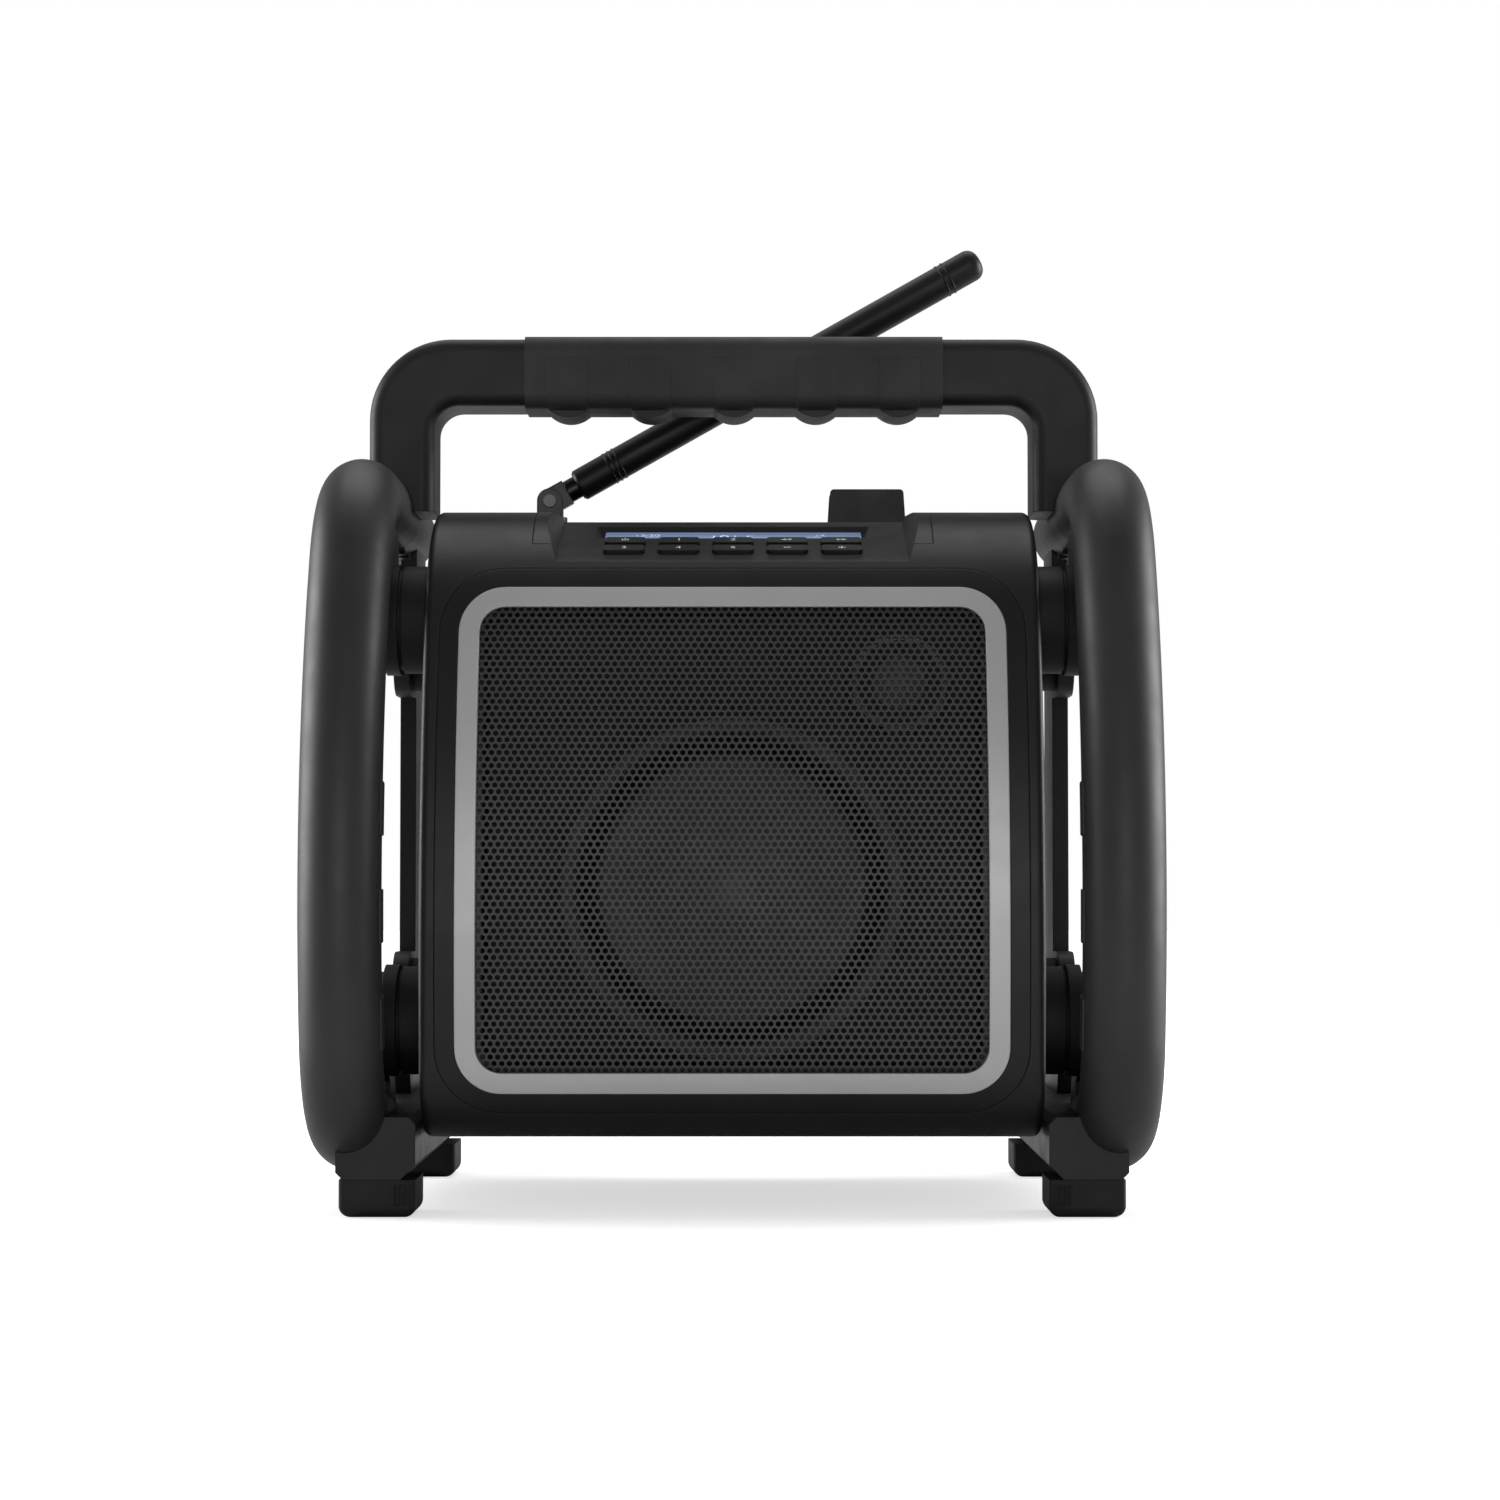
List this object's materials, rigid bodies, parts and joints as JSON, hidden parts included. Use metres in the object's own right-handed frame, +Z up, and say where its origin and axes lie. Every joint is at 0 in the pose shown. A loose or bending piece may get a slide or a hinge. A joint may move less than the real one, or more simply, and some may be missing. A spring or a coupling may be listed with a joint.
{
  "type": "jobsite radio",
  "caption": "Rugged portable radio: speaker cabinet hung on rubber mounts between two roll loops, with carry handle, sloped keypad and folding antenna.",
  "frame": {"origin": "on the ground under the middle of the radio", "axes": "+X to the right seen from the front, +Y to the rear, +Z up"},
  "size_m": [0.29, 0.22, 0.3528],
  "materials": {
    "cabinet_plastic": "fine moulded texture",
    "frame_plastic": "fine moulded texture",
    "trim_metal": "satin silver paint",
    "grille_steel": "black powder coat, perforated",
    "inner_plastic": "plain",
    "basket_steel": "black paint",
    "speaker_rubber": "smooth",
    "speaker_paper": "pressed pulp",
    "magnet_iron": "plain",
    "panel_plastic": "fine moulded texture",
    "display_glass": "clear",
    "display_lcd": "backlit liquid crystal",
    "board_green": "circuit board",
    "bolt_steel": "blackened",
    "handle_plastic": "fine moulded texture",
    "grip_rubber": "soft touch",
    "antenna_metal": "blackened",
    "antenna_rubber": "satin",
    "battery_plastic": "plain",
    "button_plastic": "satin",
    "cover_rubber": "matt",
    "bumper_rubber": "soft touch, satin",
    "rail_plastic": "fine moulded texture",
    "mount_rubber": "matt",
    "foot_rubber": "matt"
  },
  "bodies": {
    "cabinet": {"amplifier_board": "board_green", "antenna_clip": "cabinet_plastic", "battery_pack": "battery_plastic", "bumper_tube_left": "bumper_rubber", "bumper_tube_right": "bumper_rubber", "carry_handle": "handle_plastic", "case_screws": "bolt_steel", "control_panel": "panel_plastic", "display_module": "display_lcd", "display_window": "display_glass", "foot_front_left": "foot_rubber", "foot_front_right": "foot_rubber", "foot_rear_left": "foot_rubber", "foot_rear_right": "foot_rubber", "frame_bolts": "bolt_steel", "front_bezel": "frame_plastic", "front_brackets_left": "rail_plastic", "front_brackets_right": "rail_plastic", "front_shell": "cabinet_plastic", "handle_grip": "grip_rubber", "hinge_pins": "bolt_steel", "keypad_board": "board_green", "lower_rail_left": "rail_plastic", "lower_rail_right": "rail_plastic", "rear_shell": "cabinet_plastic", "rear_side_plate_left": "rail_plastic", "rear_side_plate_right": "rail_plastic", "shock_mounts_left": "mount_rubber", "shock_mounts_right": "mount_rubber", "socket_panel": "inner_plastic", "speaker_baffle": "inner_plastic", "speaker_grille": "grille_steel", "trim_ring": "trim_metal", "tweeter_body": "inner_plastic", "tweeter_dome": "speaker_paper", "upper_rail_left": "rail_plastic", "upper_rail_right": "rail_plastic", "woofer_cone": "speaker_paper", "woofer_dust_cap": "speaker_paper", "woofer_frame": "basket_steel", "woofer_magnet": "magnet_iron", "woofer_surround": "speaker_rubber"},
    "antenna_turntable": {"antenna_swivel": "antenna_metal", "antenna_pivot_screw": "antenna_metal"},
    "antenna": {"antenna_knuckle": "antenna_metal", "antenna_rod": "antenna_rubber", "antenna_tip": "antenna_rubber"},
    "battery_door": {"battery_door": "cabinet_plastic"},
    "battery_latch": {"battery_latch": "button_plastic"},
    "socket_cover": {"socket_cover": "cover_rubber"},
    "button_front_1": {"button_front_1": "button_plastic"},
    "button_front_2": {"button_front_2": "button_plastic"},
    "button_front_3": {"button_front_3": "button_plastic"},
    "button_front_4": {"button_front_4": "button_plastic"},
    "button_front_5": {"button_front_5": "button_plastic"},
    "button_rear_1": {"button_rear_1": "button_plastic"},
    "button_rear_2": {"button_rear_2": "button_plastic"},
    "button_rear_3": {"button_rear_3": "button_plastic"},
    "button_rear_4": {"button_rear_4": "button_plastic"},
    "button_rear_5": {"button_rear_5": "button_plastic"}
  },
  "joints": [
    {"name": "antenna_swivel", "type": "hinge", "parent": "cabinet", "child": "antenna_turntable", "pos_m": [-0.0697, 0.052, 0.2475], "axis": [0, 0, 1], "range_deg": [0, 180]},
    {"name": "antenna_tilt", "type": "hinge", "parent": "antenna_turntable", "child": "antenna", "pos_m": [-0.0697, 0.052, 0.257], "axis": [0, -1, 0], "range_deg": [-29.5, 60.5]},
    {"name": "battery_door_hinge", "type": "hinge", "parent": "cabinet", "child": "battery_door", "pos_m": [0, 0.088, 0.056], "axis": [-1, 0, 0], "range_deg": [0, 95]},
    {"name": "battery_latch_slide", "type": "slide", "parent": "battery_door", "child": "battery_latch", "axis": [0, 0, -1], "range_m": [0, 0.004], "stiffness_N_per_m": 150},
    {"name": "socket_cover_hinge", "type": "hinge", "parent": "cabinet", "child": "socket_cover", "pos_m": [0, 0.088, 0.198], "axis": [1, 0, 0], "range_deg": [0, 110]},
    {"name": "button_front_1_press", "type": "slide", "parent": "cabinet", "child": "button_front_1", "axis": [0, 0.3219, -0.9468], "range_m": [0, 0.0008], "stiffness_N_per_m": 600},
    {"name": "button_front_2_press", "type": "slide", "parent": "cabinet", "child": "button_front_2", "axis": [0, 0.3219, -0.9468], "range_m": [0, 0.0008], "stiffness_N_per_m": 600},
    {"name": "button_front_3_press", "type": "slide", "parent": "cabinet", "child": "button_front_3", "axis": [0, 0.3219, -0.9468], "range_m": [0, 0.0008], "stiffness_N_per_m": 600},
    {"name": "button_front_4_press", "type": "slide", "parent": "cabinet", "child": "button_front_4", "axis": [0, 0.3219, -0.9468], "range_m": [0, 0.0008], "stiffness_N_per_m": 600},
    {"name": "button_front_5_press", "type": "slide", "parent": "cabinet", "child": "button_front_5", "axis": [0, 0.3219, -0.9468], "range_m": [0, 0.0008], "stiffness_N_per_m": 600},
    {"name": "button_rear_1_press", "type": "slide", "parent": "cabinet", "child": "button_rear_1", "axis": [0, 0.3219, -0.9468], "range_m": [0, 0.0008], "stiffness_N_per_m": 600},
    {"name": "button_rear_2_press", "type": "slide", "parent": "cabinet", "child": "button_rear_2", "axis": [0, 0.3219, -0.9468], "range_m": [0, 0.0008], "stiffness_N_per_m": 600},
    {"name": "button_rear_3_press", "type": "slide", "parent": "cabinet", "child": "button_rear_3", "axis": [0, 0.3219, -0.9468], "range_m": [0, 0.0008], "stiffness_N_per_m": 600},
    {"name": "button_rear_4_press", "type": "slide", "parent": "cabinet", "child": "button_rear_4", "axis": [0, 0.3219, -0.9468], "range_m": [0, 0.0008], "stiffness_N_per_m": 600},
    {"name": "button_rear_5_press", "type": "slide", "parent": "cabinet", "child": "button_rear_5", "axis": [0, 0.3219, -0.9468], "range_m": [0, 0.0008], "stiffness_N_per_m": 600}
  ]
}
